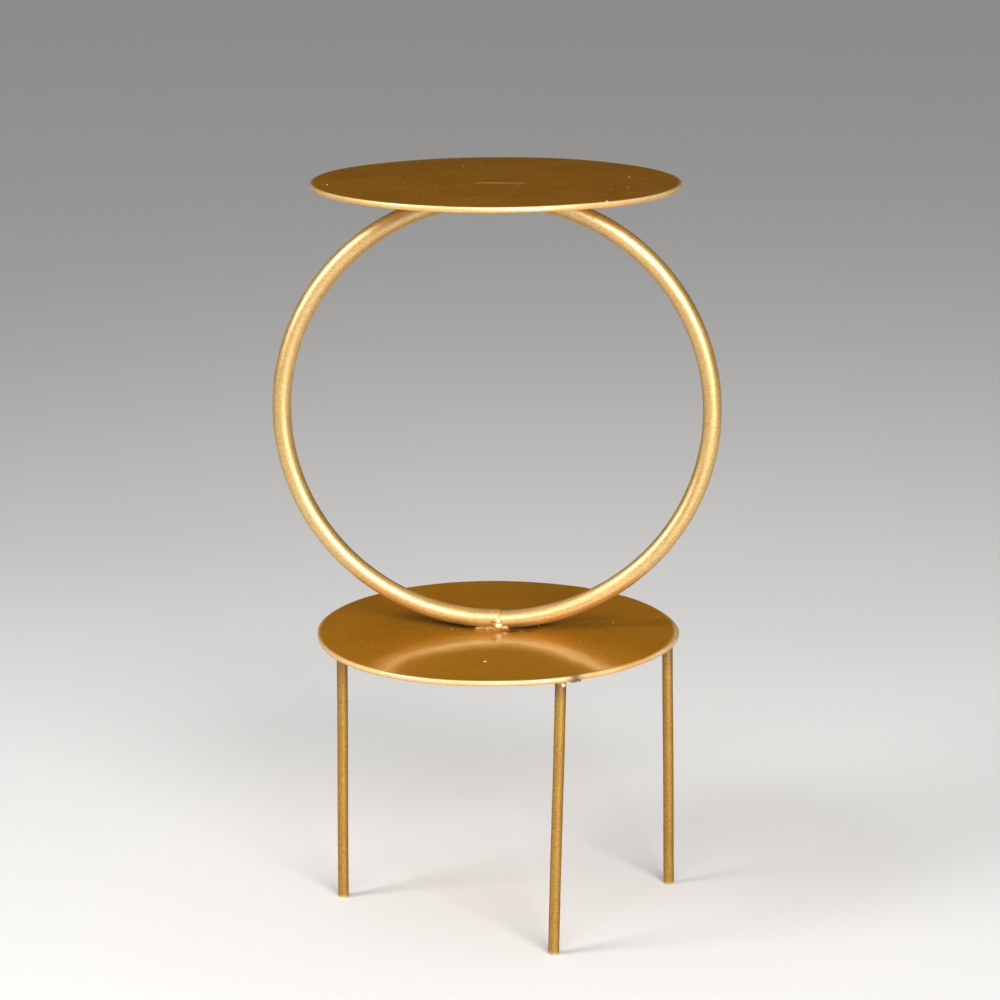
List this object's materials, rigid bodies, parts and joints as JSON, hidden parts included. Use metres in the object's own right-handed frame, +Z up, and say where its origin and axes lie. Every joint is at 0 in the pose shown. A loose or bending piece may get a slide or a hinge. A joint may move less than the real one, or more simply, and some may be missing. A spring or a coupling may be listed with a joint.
{
  "type": "tiered cake stand",
  "caption": "Two-tier cake stand: equal round sheet plates joined by an upright bar ring, on straight rod legs under the lower plate, all welded.",
  "frame": {"origin": "on the floor, straight below the middle of the ring", "axes": "+Z up, X along the ring's plane, +Y to the back, so the front of the stand faces -Y"},
  "size_m": [0.2464, 0.2, 0.4085],
  "materials": {
    "painted_plate": "satin metallic gold spray paint on steel sheet, fine flake and faint brush lines",
    "painted_bar": "satin metallic gold spray paint on round steel bar",
    "painted_weld": "rippled weld metal under the same gold paint"
  },
  "bodies": {
    "root": {"top_plate": "painted_plate", "base_plate": "painted_plate", "ring": "painted_bar", "ring_seam_weld": "painted_weld", "top_weld": "painted_weld", "base_weld": "painted_weld", "leg_left": "painted_bar", "leg_front": "painted_bar", "leg_right": "painted_bar", "leg_left_weld": "painted_weld", "leg_front_weld": "painted_weld", "leg_right_weld": "painted_weld"}
  },
  "joints": []
}
